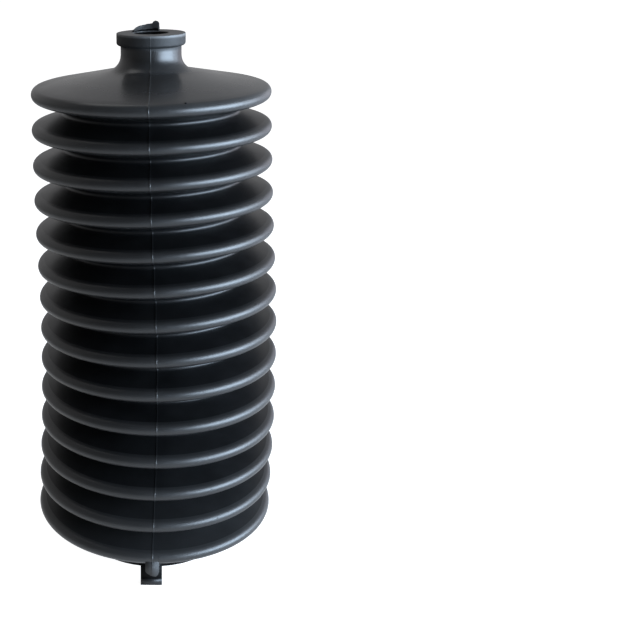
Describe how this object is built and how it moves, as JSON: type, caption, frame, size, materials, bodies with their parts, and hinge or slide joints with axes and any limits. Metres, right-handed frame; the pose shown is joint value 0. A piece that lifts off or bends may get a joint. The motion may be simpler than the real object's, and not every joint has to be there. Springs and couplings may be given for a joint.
{
  "type": "steering rack boot",
  "caption": "Black rubber steering rack boot: a tall bellows between a thick lipped neck for the tie rod and a wide lipped cuff with a locating tab for the rack housing.",
  "frame": {"origin": "centre of the large end's mouth, where the rack housing enters", "axes": "+Z along the boot from the large end to the small end; -Y is the side with the locating tab and the front parting line; +X to the right seen from there"},
  "size_m": [0.089, 0.0894, 0.2051],
  "materials": {
    "boot_rubber": "moulded black rubber, satin, with a faint bluish sheen"
  },
  "bodies": {
    "root": {"boot": "boot_rubber"}
  },
  "joints": []
}
